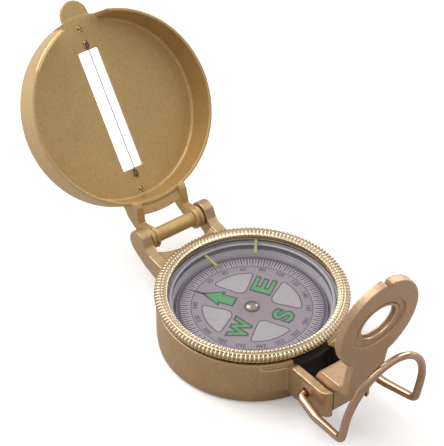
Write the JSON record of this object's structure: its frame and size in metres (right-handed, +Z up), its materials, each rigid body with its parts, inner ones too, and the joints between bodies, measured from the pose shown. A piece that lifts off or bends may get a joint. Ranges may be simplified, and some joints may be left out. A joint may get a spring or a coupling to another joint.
{
  "type": "sighting_compass",
  "caption": "Folding sighting compass, gold metal case: hinged slotted lid with sighting wire, magnifier eyepiece, turning bezel, floating card and wire thumb loop",
  "frame": {"origin": "centre of the case's flat underside, under the dial's centre", "axes": "+Z up through the dial, +Y from the eyepiece towards the lid hinge (the line of sight), +X to the right of someone sighting along +Y"},
  "size_m": [0.055, 0.1435, 0.063],
  "materials": {
    "gold_paint": "satin, slightly grainy gold-ochre",
    "dull_gold_paint": "satin brown-gold",
    "copper_wire": "polished rose-gold plate",
    "steel": "satin",
    "brass": "satin",
    "pale_liner": "matte",
    "lilac_card": "matte",
    "clear_glass": "clear",
    "black_rubber": "matte",
    "luminous_line": "luminous paint"
  },
  "bodies": {
    "case": {"case_body": "gold_paint", "lid_hinge_pin": "steel", "eyepiece_hinge_pin": "steel", "capsule_cup": "pale_liner", "pivot_pin": "steel", "capsule_gasket": "black_rubber", "capsule_window": "clear_glass", "window_retaining_ring": "pale_liner", "fixed_index_line": "luminous_line", "bezel_snap_ring": "steel", "bezel_wave_spring": "steel"},
    "card": {"compass_card": "lilac_card", "bar_magnet": "steel", "jewel_cup": "brass", "hub_cap": "brass"},
    "bezel": {"bezel_ring": "gold_paint", "bezel_glass": "clear_glass", "glass_retaining_ring": "gold_paint", "bezel_index_line": "luminous_line"},
    "lid": {"lid_shell": "gold_paint", "sighting_wire": "steel", "wire_clamp_front": "steel", "wire_clamp_rear": "steel", "wire_rivet_front": "steel", "wire_rivet_rear": "steel"},
    "eyepiece": {"eyepiece_bracket": "dull_gold_paint", "magnifier_lens": "clear_glass", "lens_retaining_ring": "gold_paint"},
    "thumb_loop": {"thumb_loop": "copper_wire"}
  },
  "joints": [
    {"name": "lid_hinge", "type": "hinge", "parent": "case", "child": "lid", "pos_m": [0, 0.0362, 0.0135], "axis": [1, 0, 0], "range_deg": [-53, 127]},
    {"name": "eyepiece_hinge", "type": "hinge", "parent": "case", "child": "eyepiece", "pos_m": [0, -0.0364, 0.0116], "axis": [1, 0, 0], "range_deg": [-98, 0]},
    {"name": "thumb_loop_hinge", "type": "hinge", "parent": "case", "child": "thumb_loop", "pos_m": [0, -0.0333, 0.0104], "axis": [1, 0, 0], "range_deg": [-8, 90]},
    {"name": "bezel_turn", "type": "hinge", "parent": "case", "child": "bezel", "pos_m": [0, 0, 0.0145], "axis": [0, 0, 1], "continuous": true},
    {"name": "card_spin", "type": "hinge", "parent": "case", "child": "card", "pos_m": [0, 0, 0.0114], "axis": [0, 0, 1], "continuous": true}
  ]
}
